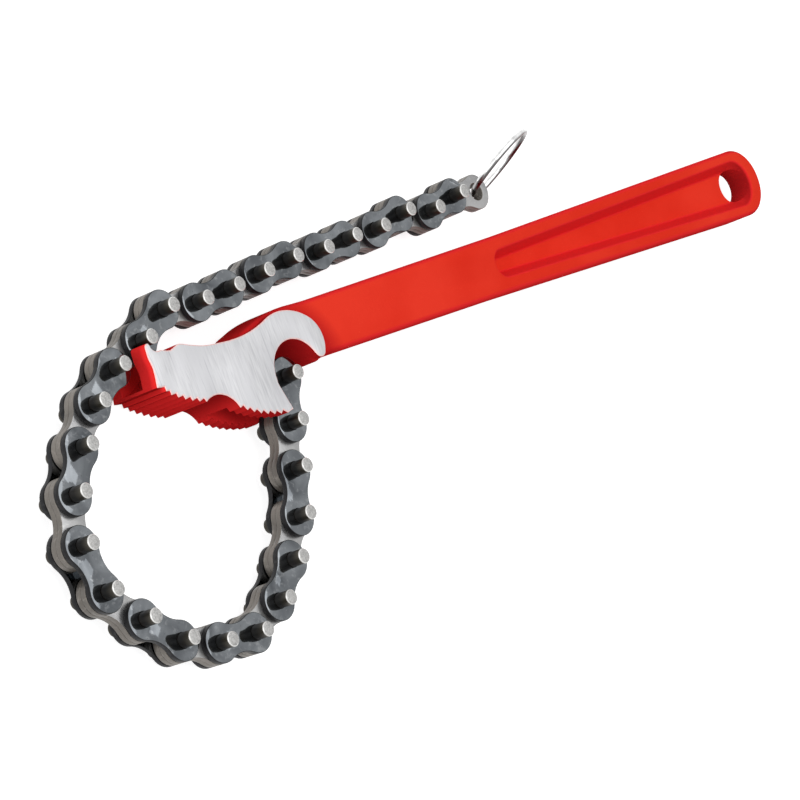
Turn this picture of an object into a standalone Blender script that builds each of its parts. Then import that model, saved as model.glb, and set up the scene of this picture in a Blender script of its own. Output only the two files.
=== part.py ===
"""Chain wrench: a forged one-piece handle and double jaw, and a hook-on chain with a ring at its end.

The wrench lies on its back face. +X runs along the handle from the jaws to the butt, +Y points to the
back of the head, +Z points out of the ground front face. The origin is on the back face, on the
handle's centre line and midway between the two toothed jaws.
"""

import math

import bmesh
import bpy
from mathutils import Matrix, Vector

MM = 0.001

# Chain: leaf links on riveted pins whose ends stand out on both sides
PITCH = 12.7 * MM
PLATE_THICKNESS = 1.6 * MM
PLATE_END_GAP = 1.9 * MM      # between the rounded ends of two neighbouring plates in one layer
PLATE_WAIST_DEPTH = 1.5 * MM  # how far each side of a plate draws in at its middle
FACE_GAP = 0.3 * MM           # between two plates that lie face to face
PIN_DIAMETER = 3.97 * MM
PIN_CLEARANCE = 0.2 * MM      # radial, between a pin and the hole round it

# How the chain lies: out of the throat, round the pipe space to the horn, and on above the handle
ANCHOR_LINK_HEADING = -9.5
LOOP_HEADINGS = (-110, -113, -113, -130, -139, -157, 174, 160, 138, 131, 100, 73, 54, 45, 33, 20)
TAIL_HEADINGS = (28, -4, 4, 6, 6, -1, 4, 1, 10, -8, 10)
END_LINK_HEADING = -3
HOOKED_PIN_X = -16.15 * MM    # the pin between the loop and the tail, which rests behind the horn
HOOKED_PIN_Y = 10.9 * MM

# Head: two cheeks with a slot for the chain at each end
CHEEK_THICKNESS = 4.35 * MM
SLOT_CLEARANCE = 0.35 * MM    # each side, between the chain's plates and a cheek
NOTCH_CLEARANCE = 2.05 * MM   # radial, between the hooked pin and the notch
HORN_RADIUS = 1.1 * MM
HORN_OUT = 4.15 * MM          # from the hooked pin to the middle of the horn's round tip
HORN_DROP = 2.5 * MM
HORN_INNER_ANGLE = 20
NOTCH_START_ANGLE = 280
NOTCH_END_ANGLE = 222
HEAD_BACK_HEIGHT = 7.0 * MM   # from the centre line to the crest behind the notch
LEFT_END_HOLLOW = 0.54 * MM
HEEL_OUT = 0.87 * MM          # from the left jaw's last tooth to the heel
HEEL_UP = 0.17 * MM

# Hook and throat round the chain's first free pin
THROAT_CLEARANCE = 3.6 * MM   # radial, round the end of a plate
THROAT_OUT = 0.28 * MM        # from the first pin on to the throat's centre
THROAT_DROP = 0.22 * MM
HOOK_WIDTH = 7.85 * MM
HOOK_TIP_RADIUS = 2.1 * MM
HOOK_TIP_INSET = 0.1 * MM     # from the throat's wall to the inner side of the hook's tip
HOOK_TIP_WEB = 0.7 * MM       # how far the handle's own body stands out under the hook's tip
HOOK_TIP_ANGLE = 20.7
HOOK_TIP_START_ANGLE = 201
HOOK_TIP_END_ANGLE = 340
HOOK_BACK_ANGLE = 51
HOOK_ROOT_ANGLE = 104
THROAT_MOUTH_ANGLE = 23

# Jaws: toothed arcs on both sides of a relief
JAW_TEETH = 7
TOOTH_DEPTH = 0.9 * MM
LEFT_JAW_START = (-6.5 * MM, -9.2 * MM)
LEFT_JAW_LENGTH = 16.5 * MM
LEFT_JAW_ANGLE = 154
LEFT_JAW_BULGE = 0.85 * MM
LEFT_STEEP_SHARE = 0.33       # share of a tooth's length that its steep side takes
RIGHT_JAW_START = (4.2 * MM, -13.5 * MM)
RIGHT_JAW_LENGTH = 16.7 * MM
RIGHT_JAW_ANGLE = -18.8
RIGHT_JAW_BULGE = 0.95 * MM
RIGHT_STEEP_SHARE = 0.38
RELIEF_BULGE = 2.7 * MM
TOE_OUT = 2.46 * MM           # from the right jaw's last tooth to the toe
TOE_UP = 0.47 * MM
MOUTH_DROP = 1.5 * MM         # from the throat's centre to where its straight left side starts

# Slots, milled with a disc cutter
HORN_SLOT_RADIUS = 13.0 * MM
HORN_SLOT_OUT = 6.35 * MM     # from the hooked pin to the cutter's centre
HORN_SLOT_UP = 1.1 * MM
ANCHOR_SLOT_RADIUS = 12.5 * MM
ANCHOR_SLOT_BACK = 0.7 * MM   # from the anchor pin to the cutter's centre
ANCHOR_SLOT_DROP = 4.2 * MM
ANCHOR_PIN_BLIND = 1.2 * MM   # metal left in front of the anchor pin's hole
ANCHOR_PIN_RECESS = 0.4 * MM  # from the back face to the anchor pin's end

# Handle
HANDLE_LENGTH = 269.1 * MM    # from the origin to the end of the butt
HANDLE_THICKNESS = 12.7 * MM
NECK_X = 45.0 * MM
NECK_WIDTH = 15.6 * MM
SHANK_X = 128.0 * MM
SHANK_WIDTH = 17.0 * MM
BUTT_WIDTH = 21.9 * MM
BUTT_CORNER_RADIUS = 10.6 * MM
HANDLE_EDGE_BEVEL = 1.6 * MM
GRIP_START_X = 125.0 * MM     # where the recess between the handle's rims starts
GRIP_START_RADIUS = 4.4 * MM
GRIP_END_RIM = 5.7 * MM       # between the recess and the end of the butt
GRIP_END_RADIUS = 7.6 * MM
GRIP_DRAFT = 2.2 * MM         # how much narrower the recess is at its floor
WEB_THICKNESS = 3.6 * MM
HANG_HOLE_DIAMETER = 10.6 * MM
HANG_HOLE_RIM = 6.2 * MM      # between the hanging hole and the end of the butt

# Ring through the last link
RING_OUTER_DIAMETER = 26.9 * MM
RING_WIRE_DIAMETER = 1.9 * MM
RING_HOLE_DIAMETER = 5.2 * MM
RING_HEADING = 28
RING_RISE = 21
RING_LEAN = -24.5

# Outline tables, chosen by eye as shares of the sizes that their names give
TOP_EDGE_SHARES = (           # of the way from the notch to the hook's root, and of HEAD_BACK_HEIGHT
    (0.07, 0.88), (0.12, 0.94), (0.17, 1.00), (0.25, 0.85), (0.36, 0.67),
    (0.47, 0.59), (0.58, 0.54), (0.69, 0.54), (0.79, 0.60), (0.89, 0.72),
)
LEFT_END_SHARES = ((0.45, 1.0), (0.75, 0.0))  # of the way from the heel to the horn, and of LEFT_END_HOLLOW
SHOULDER_SHARES = (           # of NECK_X, and of half of NECK_WIDTH
    (0.91, 1.01), (0.80, 1.03), (0.71, 1.02), (0.62, 0.97), (0.54, 0.89), (0.47, 0.78), (0.39, 0.64),
    (0.31, 0.40),
)

# How finely the round stretches are drawn
PLATE_END_STEPS = 8
PLATE_WAIST_STEPS = 3
HOLE_SIDES = 8
PIN_SIDES = 12
SLOT_SIDES = 40
ARC_STEPS = 9
SMALL_ARC_STEPS = 4
RING_SIDES = 24
WIRE_SIDES = 8
BEVEL_SEGMENTS = 2
SHARP_ANGLE = 50
BEVEL_FROM_ANGLE = 60
CUT_OVERRUN = 2.0 * MM

# Sizes worked out from those above
plate_radius = (PITCH - PLATE_END_GAP) / 2
stack_thickness = 4 * PLATE_THICKNESS + 3 * FACE_GAP
slot_width = stack_thickness + 2 * SLOT_CLEARANCE
head_thickness = slot_width + 2 * CHEEK_THICKNESS
mid_z = head_thickness / 2
pin_radius = PIN_DIAMETER / 2
hole_radius = (pin_radius + PIN_CLEARANCE) / math.cos(math.pi / HOLE_SIDES)
throat_radius = plate_radius + THROAT_CLEARANCE
grip_end_x = HANDLE_LENGTH - GRIP_END_RIM - GRIP_END_RADIUS
grip_ends = {1: grip_end_x, -1: HANDLE_LENGTH + GRIP_END_RADIUS}  # front; back, where it runs out
hooked_pin = 1 + len(LOOP_HEADINGS)


def direction(degrees):
    """Unit vector in the plane of the wrench at an angle from +X."""
    return Vector((math.cos(math.radians(degrees)), math.sin(math.radians(degrees))))


def arc(centre, radius, start, end, steps):
    """Points on a round stretch from one angle to another, both ends included."""
    turn = (end - start) / steps
    return [Vector(centre) + direction(start + turn * i) * radius for i in range(steps + 1)]


def swelling(centre, start, final, end_angle):
    """Points from a start round a centre, at a distance from it that grows ever more slowly to a final one."""
    away = start - centre
    angle = math.degrees(math.atan2(away.y, away.x))
    points = []
    for i in range(SMALL_ARC_STEPS + 1):
        left = 1 - i / SMALL_ARC_STEPS
        reach = final + (away.length - final) * left * left
        points.append(Vector(centre) + direction(end_angle + (angle - end_angle) * left) * reach)
    return points


def bulged(start, end, bulge, steps):
    """Points on the arc from start to end that stands out by bulge to the right of the way between them."""
    chord = end - start
    half = chord.length / 2
    radius = (half * half + bulge * bulge) / (2 * bulge)
    away = Vector((chord.y, -chord.x)).normalized()
    centre = (start + end) / 2 - away * (radius - bulge)
    first = math.degrees(math.atan2(start.y - centre.y, start.x - centre.x))
    sweep = 2 * math.degrees(math.asin(half / radius))
    return arc(centre, radius, first, first + sweep, steps)


def toothed(start, angle, length, bulge, steep_share, side):
    """A jaw's teeth from its inner end outwards; side is 1 where the way out runs anticlockwise, else -1."""
    end = start + direction(angle) * length
    line = bulged(start, end, bulge, JAW_TEETH) if side > 0 else bulged(end, start, bulge, JAW_TEETH)[::-1]
    points = []
    for tip, following in zip(line, line[1:]):
        step = following - tip
        inwards = Vector((-step.y, step.x)).normalized() * side * TOOTH_DEPTH
        points.append(tip)
        points.append(tip + step * steep_share + inwards)
    return points + [line[-1]]


def chain_places():
    """Anchor, pins 1 to 28 and the ring's hole, walked so that the hooked pin lies at its stated place."""
    headings = (ANCHOR_LINK_HEADING,) + LOOP_HEADINGS + TAIL_HEADINGS + (END_LINK_HEADING,)
    places = [Vector((0, 0))]
    for heading in headings:
        places.append(places[-1] + direction(heading) * PITCH)
    shift = Vector((HOOKED_PIN_X, HOOKED_PIN_Y)) - places[hooked_pin]
    return [place + shift for place in places], headings


def head_outline(hooked, first):
    """Both cheeks' outline, anticlockwise from the inner end of the left jaw."""
    throat = first + Vector((THROAT_OUT, -THROAT_DROP))
    hook_radius = throat_radius + HOOK_WIDTH
    tip = throat + direction(HOOK_TIP_ANGLE) * (throat_radius + HOOK_TIP_INSET + HOOK_TIP_RADIUS)
    horn = hooked + Vector((-HORN_OUT, -HORN_DROP))
    notch_radius = pin_radius + NOTCH_CLEARANCE
    left_jaw_end = Vector(LEFT_JAW_START) + direction(LEFT_JAW_ANGLE) * LEFT_JAW_LENGTH
    right_jaw_end = Vector(RIGHT_JAW_START) + direction(RIGHT_JAW_ANGLE) * RIGHT_JAW_LENGTH

    left_jaw = toothed(
        Vector(LEFT_JAW_START), LEFT_JAW_ANGLE, LEFT_JAW_LENGTH, LEFT_JAW_BULGE, LEFT_STEEP_SHARE, -1)
    right_jaw = toothed(
        Vector(RIGHT_JAW_START), RIGHT_JAW_ANGLE, RIGHT_JAW_LENGTH, RIGHT_JAW_BULGE, RIGHT_STEEP_SHARE, 1)
    relief = bulged(right_jaw[0], left_jaw[0], RELIEF_BULGE, SMALL_ARC_STEPS)[::-1]
    toe = right_jaw_end + Vector((TOE_OUT, TOE_UP))
    jaw_side = [toe, Vector((throat.x - throat_radius, throat.y - MOUTH_DROP))]
    throat_arc = arc(throat, throat_radius, 180, THROAT_MOUTH_ANGLE, ARC_STEPS)
    tip_arc = arc(tip, HOOK_TIP_RADIUS, HOOK_TIP_START_ANGLE, HOOK_TIP_END_ANGLE, SMALL_ARC_STEPS + 1)
    hook_arc = swelling(throat, tip_arc[-1], hook_radius, HOOK_BACK_ANGLE)[1:]
    hook_arc += arc(throat, hook_radius, HOOK_BACK_ANGLE, HOOK_ROOT_ANGLE, SMALL_ARC_STEPS)[1:]
    notch_arc = arc(hooked, notch_radius, NOTCH_START_ANGLE, NOTCH_END_ANGLE, SMALL_ARC_STEPS)
    start, end = notch_arc[0].x, hook_arc[-1].x
    top = [Vector((start + (end - start) * x, HEAD_BACK_HEIGHT * y)) for x, y in TOP_EDGE_SHARES]
    horn_arc = arc(horn, HORN_RADIUS, HORN_INNER_ANGLE, 180, SMALL_ARC_STEPS)
    heel = left_jaw_end + Vector((-HEEL_OUT, HEEL_UP))
    left_end = [heel.lerp(horn_arc[-1], up) + Vector((LEFT_END_HOLLOW * hollow, 0))
                for up, hollow in reversed(LEFT_END_SHARES)]
    return (relief[:-1] + right_jaw + jaw_side + throat_arc + tip_arc + hook_arc + top[::-1] + notch_arc
            + horn_arc + left_end + [heel] + left_jaw[:0:-1])


def handle_outline(first):
    """The handle's outline, anticlockwise, with its left end hidden inside the head."""
    throat = first + Vector((THROAT_OUT, -THROAT_DROP))
    tip = throat + direction(HOOK_TIP_ANGLE) * (throat_radius + HOOK_TIP_INSET + HOOK_TIP_RADIUS)
    half_butt = BUTT_WIDTH / 2
    corner = Vector((HANDLE_LENGTH - BUTT_CORNER_RADIUS, half_butt - BUTT_CORNER_RADIUS))
    upper = [Vector((SHANK_X, SHANK_WIDTH / 2)), Vector((NECK_X, NECK_WIDTH / 2))]
    lower = [Vector((point.x, -point.y)) for point in reversed(upper)]
    butt = arc((corner.x, -corner.y), BUTT_CORNER_RADIUS, -90, 0, SMALL_ARC_STEPS)
    butt += arc(corner, BUTT_CORNER_RADIUS, 0, 90, SMALL_ARC_STEPS)
    shoulder = [Vector((NECK_X * x, NECK_WIDTH / 2 * y)) for x, y in SHOULDER_SHARES]
    inside = arc(throat, throat_radius + HOOK_WIDTH / 2, HOOK_ROOT_ANGLE, HOOK_TIP_ANGLE, SMALL_ARC_STEPS)
    under = arc(tip, HOOK_TIP_RADIUS + HOOK_TIP_WEB, -115, -60, SMALL_ARC_STEPS)
    return lower + butt + upper + shoulder + inside + [tip] + under


def grip_outline(narrower, end_x):
    """The recess between the handle's rims, narrower at its floor than at its edge."""
    start = (GRIP_START_X + GRIP_START_RADIUS, 0)
    points = arc(start, GRIP_START_RADIUS - narrower, 90, 270, ARC_STEPS - 1)
    return points + arc((end_x, 0), GRIP_END_RADIUS - narrower, -90, 90, ARC_STEPS - 1)


def plate_outline():
    """A figure-eight link plate from its first hole at the origin to its second, one pitch along +X."""
    waist = plate_radius - PLATE_WAIST_DEPTH
    half = PITCH / 2
    waist_radius = (half * half + waist * waist - plate_radius * plate_radius) / (2 * PLATE_WAIST_DEPTH)
    lean = math.degrees(math.atan2(waist + waist_radius, half))
    near = arc((0, 0), plate_radius, lean, 360 - lean, PLATE_END_STEPS)
    far = arc((PITCH, 0), plate_radius, lean - 180, 180 - lean, PLATE_END_STEPS)
    above = arc((half, waist + waist_radius), waist_radius, -lean, lean - 180, PLATE_WAIST_STEPS)[1:-1]
    below = [Vector((PITCH - point.x, -point.y)) for point in above]
    return near + below + far + above


def circle(centre, radius, sides):
    return arc(centre, radius, 0, 360 - 360 / sides, sides - 1)


def rim(bm, outline, z):
    return [bm.verts.new((point.x, point.y, z)) for point in outline]


def walls(bm, low, high):
    """Faces between two rims with as many points."""
    for a, b, c, d in zip(low, low[1:] + low[:1], high[1:] + high[:1], high):
        bm.faces.new((a, b, c, d))


def fill(bm, rims):
    """A flat face inside the first rim, leaving out the insides of the others."""
    pairs = [pair for ring in rims for pair in zip(ring, ring[1:] + ring[:1])]
    edges = [bm.edges.get(pair) or bm.edges.new(pair) for pair in pairs]
    bmesh.ops.triangle_fill(bm, edges=edges, use_beauty=True)


def loft(bm, lower, upper, low_z, high_z, holes=()):
    """A closed body between two outlines with as many points, with holes that go straight through it."""
    sides = [(rim(bm, lower, low_z), rim(bm, upper, high_z))]
    sides += [(rim(bm, hole, low_z), rim(bm, hole, high_z)) for hole in holes]
    for low, high in sides:
        walls(bm, low, high)
    for rims in zip(*sides):
        fill(bm, rims)


def riveted(bm, outline, rods, layers, ends):
    """One closed body: a plate between each pair of heights in layers, on rods that run from end to end."""
    reached = [rim(bm, rod, ends[0]) for rod in rods]
    for cap in reached:
        bm.faces.new(cap)
    for low_z, high_z in layers:
        sides = [(rim(bm, outline, low_z), rim(bm, outline, high_z))]
        walls(bm, *sides[0])
        for place, rod in enumerate(rods):
            root, top = rim(bm, rod, low_z), rim(bm, rod, high_z)
            walls(bm, reached[place], root)
            reached[place] = top
            sides.append((root, top))
        for rims in zip(*sides):
            fill(bm, rims)
    for place, rod in enumerate(rods):
        end = rim(bm, rod, ends[1])
        walls(bm, reached[place], end)
        bm.faces.new(end)


def mesh_from(name, build, smooth=True):
    """A mesh made by build in a fresh bmesh, with its faces pointing out."""
    bm = bmesh.new()
    build(bm)
    bmesh.ops.recalc_face_normals(bm, faces=bm.faces)
    mesh = bpy.data.meshes.new(name)
    bm.to_mesh(mesh)
    bm.free()
    if smooth:
        mesh.shade_smooth()
        mesh.set_sharp_from_angle(angle=math.radians(SHARP_ANGLE))
    return mesh


def material(name, colour, roughness, metallic):
    made = bpy.data.materials.new(name)
    made.use_nodes = True
    shader = made.node_tree.nodes["Principled BSDF"]
    shader.inputs["Base Color"].default_value = (*colour, 1)
    shader.inputs["Roughness"].default_value = roughness
    shader.inputs["Metallic"].default_value = metallic
    return made


def piece(name, mesh, finish, parent=None):
    """A named object, one for each piece of the wrench, in its own finish."""
    thing = bpy.data.objects.new(name, mesh)
    bpy.context.collection.objects.link(thing)
    if not mesh.materials:
        mesh.materials.append(finish)
    thing.parent = parent
    return thing


def cutter(name, build):
    """An object that only shapes another one."""
    thing = piece(name, mesh_from(name, build, smooth=False), TOOL_FINISH)
    thing.hide_render = True
    thing.display_type = "WIRE"
    return thing


def cut(thing, tool, operation="DIFFERENCE"):
    change = thing.modifiers.new(tool.name, "BOOLEAN")
    change.operation = operation
    change.solver = "EXACT"
    change.object = tool


def make_handle(places):
    """The forging: head and handle in one, slotted for the chain, with the grip's recess on both sides."""
    anchor, first, hooked = places[0], places[1], places[hooked_pin]
    outline = head_outline(hooked, first)
    handle = piece("handle", mesh_from(
        "handle", lambda bm: loft(bm, outline, outline, 0, head_thickness), smooth=False), RED_PAINT)

    shank_outline = handle_outline(first)
    low, high = mid_z - HANDLE_THICKNESS / 2, mid_z + HANDLE_THICKNESS / 2
    shank = cutter("shank_form", lambda bm: loft(bm, shank_outline, shank_outline, low, high))
    edge = shank.modifiers.new("rounded_rims", "BEVEL")
    edge.width = HANDLE_EDGE_BEVEL
    edge.segments = BEVEL_SEGMENTS
    edge.limit_method = "ANGLE"
    edge.angle_limit = math.radians(BEVEL_FROM_ANGLE)
    cut(handle, shank, "UNION")

    slots = (
        ("horn_slot", hooked + Vector((-HORN_SLOT_OUT, HORN_SLOT_UP)), HORN_SLOT_RADIUS),
        ("anchor_slot", anchor + Vector((-ANCHOR_SLOT_BACK, -ANCHOR_SLOT_DROP)), ANCHOR_SLOT_RADIUS),
    )
    for name, centre, radius in slots:
        disc = circle(centre, radius, SLOT_SIDES)
        cut(handle, cutter(name, lambda bm: loft(
            bm, disc, disc, mid_z - slot_width / 2, mid_z + slot_width / 2)))

    floor = WEB_THICKNESS / 2
    depth = HANDLE_THICKNESS / 2 - floor
    wider = GRIP_DRAFT * CUT_OVERRUN / depth
    for name, side in (("front_recess", 1), ("back_recess", -1)):
        cut(handle, cutter(name, lambda bm: loft(
            bm, grip_outline(GRIP_DRAFT, grip_ends[side]), grip_outline(-wider, grip_ends[side]),
            mid_z + side * floor, mid_z + side * (floor + depth + CUT_OVERRUN))))

    hang_radius = HANG_HOLE_DIAMETER / 2
    hang = circle((HANDLE_LENGTH - HANG_HOLE_RIM - hang_radius, 0), hang_radius, PIN_SIDES)
    cut(handle, cutter("hang_hole", lambda bm: loft(bm, hang, hang, 0, head_thickness)))
    bore = circle(anchor, hole_radius, HOLE_SIDES)
    cut(handle, cutter("anchor_bore", lambda bm: loft(
        bm, bore, bore, -CUT_OVERRUN, head_thickness - ANCHOR_PIN_BLIND)))

    pin = circle((0, 0), pin_radius, PIN_SIDES)
    end = head_thickness - ANCHOR_PIN_BLIND - FACE_GAP
    anchor_pin = piece("anchor_pin", mesh_from(
        "anchor_pin", lambda bm: loft(bm, pin, pin, ANCHOR_PIN_RECESS, end)), PIN_STEEL)
    anchor_pin.location = (anchor.x, anchor.y, 0)


def chain_meshes():
    """The chain's kinds of plate, each from its first hole at the origin to its second along +X."""
    outline = plate_outline()
    holes = [circle(place, hole_radius, HOLE_SIDES) for place in ((0, 0), (PITCH, 0))]
    pins = [circle(place, pin_radius, PIN_SIDES) for place in ((0, 0), (PITCH, 0))]
    inner_low = mid_z + FACE_GAP / 2
    outer_low = inner_low + PLATE_THICKNESS + FACE_GAP
    ring_holes = [holes[0], circle((PITCH, 0), RING_HOLE_DIAMETER / 2, PIN_SIDES)]
    layers = {
        "inner_plate_front": (inner_low, inner_low + PLATE_THICKNESS),
        "inner_plate_back": (head_thickness - inner_low - PLATE_THICKNESS, head_thickness - inner_low),
        "outer_plate": (outer_low, outer_low + PLATE_THICKNESS),
        "pin_plate": (head_thickness - outer_low - PLATE_THICKNESS, head_thickness - outer_low),
    }
    loose = ("inner_plate_front", "inner_plate_back", "outer_plate")
    meshes = {kind: mesh_from(kind, lambda bm: loft(bm, outline, outline, *layers[kind], holes))
              for kind in loose}
    for side in ("front", "back"):
        meshes[f"end_plate_{side}"] = mesh_from(f"end_plate_{side}", lambda bm: loft(
            bm, outline, outline, *layers[f"inner_plate_{side}"], ring_holes))
    on_pins = {"pin_plate": ("pin_plate",), "riveted_link": ("pin_plate", "outer_plate")}
    for kind, plates in on_pins.items():
        meshes[kind] = mesh_from(kind, lambda bm: riveted(
            bm, outline, pins, [layers[plate] for plate in plates], (0, head_thickness)))
    return meshes


def make_chain(places, headings):
    """Every link on an empty that sits on the pin it turns about and is carried by the link before it."""
    meshes = chain_meshes()
    inner = (("inner_plate_front", WARM_STEEL), ("inner_plate_back", WARM_STEEL))
    outer = (("pin_plate", PIN_STEEL), ("outer_plate", BLUED_STEEL))
    last_outer = (("riveted_link", BLUED_STEEL),)
    last_inner = (("end_plate_front", WARM_STEEL), ("end_plate_back", WARM_STEEL))
    pattern = [inner, outer] * (len(headings) // 2 - 1) + [inner, last_outer, last_inner]
    carrier, heading_before = None, 0
    for index, (heading, kinds) in enumerate(zip(headings, pattern)):
        joint = bpy.data.objects.new(f"link_frame_{index:02d}", None)
        bpy.context.collection.objects.link(joint)
        joint.parent = carrier
        joint.location = (PITCH, 0, 0) if carrier else (places[0].x, places[0].y, 0)
        joint.rotation_euler.z = math.radians(heading - heading_before)
        for kind, finish in kinds:
            piece(f"{kind}_{index // 2 + 1:02d}", meshes[kind], finish, joint)
        carrier, heading_before = joint, heading
    return carrier


def make_ring(carrier, heading_before):
    """The ring through the last link: a round wire that leans and rises from the link's hole."""
    radius = (RING_OUTER_DIAMETER - RING_WIRE_DIAMETER) / 2

    def wire(bm):
        rows = []
        for i in range(RING_SIDES):
            turn = direction(360 / RING_SIDES * i)
            row = []
            for place in circle((radius, 0), RING_WIRE_DIAMETER / 2, WIRE_SIDES):
                row.append(bm.verts.new((turn.x * place.x, place.y, turn.y * place.x)))
            rows.append(row)
        for row, following in zip(rows, rows[1:] + rows[:1]):
            for a, b, c, d in zip(row, row[1:] + row[:1], following[1:] + following[:1], following):
                bm.faces.new((a, b, c, d))

    ring = piece("ring", mesh_from("ring", wire), BRIGHT_CHROME, carrier)
    lie = (Matrix.Rotation(math.radians(RING_HEADING - heading_before), 4, "Z")
           @ Matrix.Rotation(math.radians(-RING_RISE), 4, "Y")
           @ Matrix.Rotation(math.radians(RING_LEAN), 4, "X"))
    ring.matrix_local = Matrix.Translation((PITCH, 0, mid_z)) @ lie @ Matrix.Translation((radius, 0, 0))


for old in list(bpy.data.objects):
    bpy.data.objects.remove(old)

RED_PAINT = material("red_paint", (0.72, 0.045, 0.02), 0.34, 0.0)
BLUED_STEEL = material("blued_steel", (0.23, 0.26, 0.30), 0.42, 0.8)
WARM_STEEL = material("warm_steel", (0.38, 0.36, 0.34), 0.45, 0.8)
PIN_STEEL = material("pin_steel", (0.55, 0.54, 0.52), 0.35, 0.9)
BRIGHT_CHROME = material("bright_chrome", (0.80, 0.80, 0.82), 0.12, 1.0)
TOOL_FINISH = material("tool", (0.5, 0.5, 0.5), 0.5, 0.0)

chain, link_headings = chain_places()
make_handle(chain)
last_link = make_chain(chain, link_headings)
make_ring(last_link, link_headings[-1])
bpy.context.view_layer.update()
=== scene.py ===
import math

import bmesh
import bpy
import numpy as np
from mathutils import Matrix, Vector


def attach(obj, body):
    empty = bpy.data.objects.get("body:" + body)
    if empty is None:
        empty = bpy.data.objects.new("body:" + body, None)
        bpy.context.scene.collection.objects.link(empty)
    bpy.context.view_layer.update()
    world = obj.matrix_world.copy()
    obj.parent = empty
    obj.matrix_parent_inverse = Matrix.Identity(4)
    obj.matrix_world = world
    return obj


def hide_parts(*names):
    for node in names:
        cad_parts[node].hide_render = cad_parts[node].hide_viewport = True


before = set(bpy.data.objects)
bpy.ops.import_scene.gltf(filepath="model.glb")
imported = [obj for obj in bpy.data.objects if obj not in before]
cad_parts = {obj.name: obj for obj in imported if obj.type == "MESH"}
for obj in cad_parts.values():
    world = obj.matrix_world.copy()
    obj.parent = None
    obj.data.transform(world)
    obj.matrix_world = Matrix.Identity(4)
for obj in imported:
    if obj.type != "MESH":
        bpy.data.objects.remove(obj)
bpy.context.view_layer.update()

MM = 0.001

# Chain
PITCH = 12.7 * MM
PLATE_THICKNESS = 1.6 * MM
PLATE_END_GAP = 1.9 * MM
PLATE_WAIST_DEPTH = 1.5 * MM
PLATE_EDGE_ROUND = 0.15 * MM
PLATE_TRIM = 0.12 * MM        # keeps the round ends inside the CAD's faceted ones
INNER_SEAM = 0.06 * MM        # between the two inner plates of a link
FACE_GAP = 0.3 * MM
PIN_DIAMETER = 3.97 * MM
PIN_CLEARANCE = 0.2 * MM
RIVET_SEAM = 0.03 * MM        # radial, between a pin and its two outer plates
PIN_CHAMFER = 0.24 * MM
PIN_DOME = 0.1 * MM
PIN_DOME_SHARES = ((0.35, 0.0), (0.75, 0.35), (1.0, 1.0))  # of the way out to the chamfer, and of PIN_DOME

# How the chain lies: out of the throat, round the pipe space to the horn, and on above the handle
ANCHOR_LINK_HEADING = -9.5
LOOP_HEADINGS = (-110, -113, -113, -130, -139, -157, 174, 160, 138, 131, 100, 73, 54, 45, 33, 20)
TAIL_HEADINGS = (28, -4, 4, 6, 6, -1, 4, 1, 10, -8, 10)
END_LINK_HEADING = -3
HOOKED_PIN_X = -16.15 * MM
HOOKED_PIN_Y = 10.9 * MM

# Head
CHEEK_THICKNESS = 4.35 * MM
SLOT_CLEARANCE = 0.35 * MM
NOTCH_CLEARANCE = 2.05 * MM
HORN_RADIUS = 1.1 * MM
HORN_OUT = 4.15 * MM
HORN_DROP = 2.5 * MM
HORN_INNER_ANGLE = 20
NOTCH_START_ANGLE = 280
NOTCH_END_ANGLE = 222
HEAD_BACK_HEIGHT = 7.0 * MM
LEFT_END_HOLLOW = 0.54 * MM
HEEL_OUT = 0.87 * MM
HEEL_UP = 0.17 * MM
EDGE_BAND = 0.3 * MM          # width of the bright band where the ground faces meet the paint: broken paint with a painted highlight
EDGE_DROP = 0.2 * MM          # and its depth
END_ROUND = 1.1 * MM          # the forging's own rounding, which the grinding left at the head's left end
END_ROUND_X = -17.0 * MM      # where the rounding starts
END_ROUND_FADE = 3.0 * MM     # how far to the left of that it has its full size

# Hook and throat round the chain's first free pin
THROAT_CLEARANCE = 3.6 * MM
THROAT_OUT = 0.28 * MM
THROAT_DROP = 0.22 * MM
HOOK_WIDTH = 7.85 * MM
HOOK_TIP_RADIUS = 2.1 * MM
HOOK_TIP_INSET = 0.1 * MM
HOOK_TIP_ANGLE = 20.7
HOOK_TIP_START_ANGLE = 201
HOOK_TIP_END_ANGLE = 340
HOOK_BACK_ANGLE = 51
HOOK_ROOT_ANGLE = 104
THROAT_MOUTH_ANGLE = 23

# Web between hook and handle: an arc along the middle of the hook, and a round end under its tip
HOOK_WEB_END_ANGLE = 41.4
HOOK_WEB_TIP_DROP = 0.7 * MM
HOOK_WEB_TIP_HEADING = -70
HOOK_WEB_TIP_START_ANGLE = 180
HOOK_WEB_TIP_END_ANGLE = 300

# Jaws
JAW_TEETH = 7
TOOTH_DEPTH = 0.9 * MM
LEFT_JAW_START = (-6.5 * MM, -9.2 * MM)
LEFT_JAW_LENGTH = 16.5 * MM
LEFT_JAW_ANGLE = 154
LEFT_JAW_BULGE = 0.85 * MM
LEFT_STEEP_SHARE = 0.33
RIGHT_JAW_START = (4.2 * MM, -13.5 * MM)
RIGHT_JAW_LENGTH = 16.7 * MM
RIGHT_JAW_ANGLE = -18.8
RIGHT_JAW_BULGE = 0.95 * MM
RIGHT_STEEP_SHARE = 0.38
RELIEF_BULGE = 2.7 * MM
TOE_OUT = 2.46 * MM
TOE_UP = 0.47 * MM
MOUTH_DROP = 1.5 * MM

# Slots, milled with a disc cutter
HORN_SLOT_RADIUS = 13.0 * MM
HORN_SLOT_OUT = 6.35 * MM
HORN_SLOT_UP = 1.1 * MM
ANCHOR_SLOT_RADIUS = 12.5 * MM
ANCHOR_SLOT_BACK = 0.7 * MM
ANCHOR_SLOT_DROP = 4.2 * MM
ANCHOR_PIN_BLIND = 1.2 * MM
ANCHOR_PIN_RECESS = 0.4 * MM
CUT_OVERRUN = 2.0 * MM        # how far what is taken away reaches past a face

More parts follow.
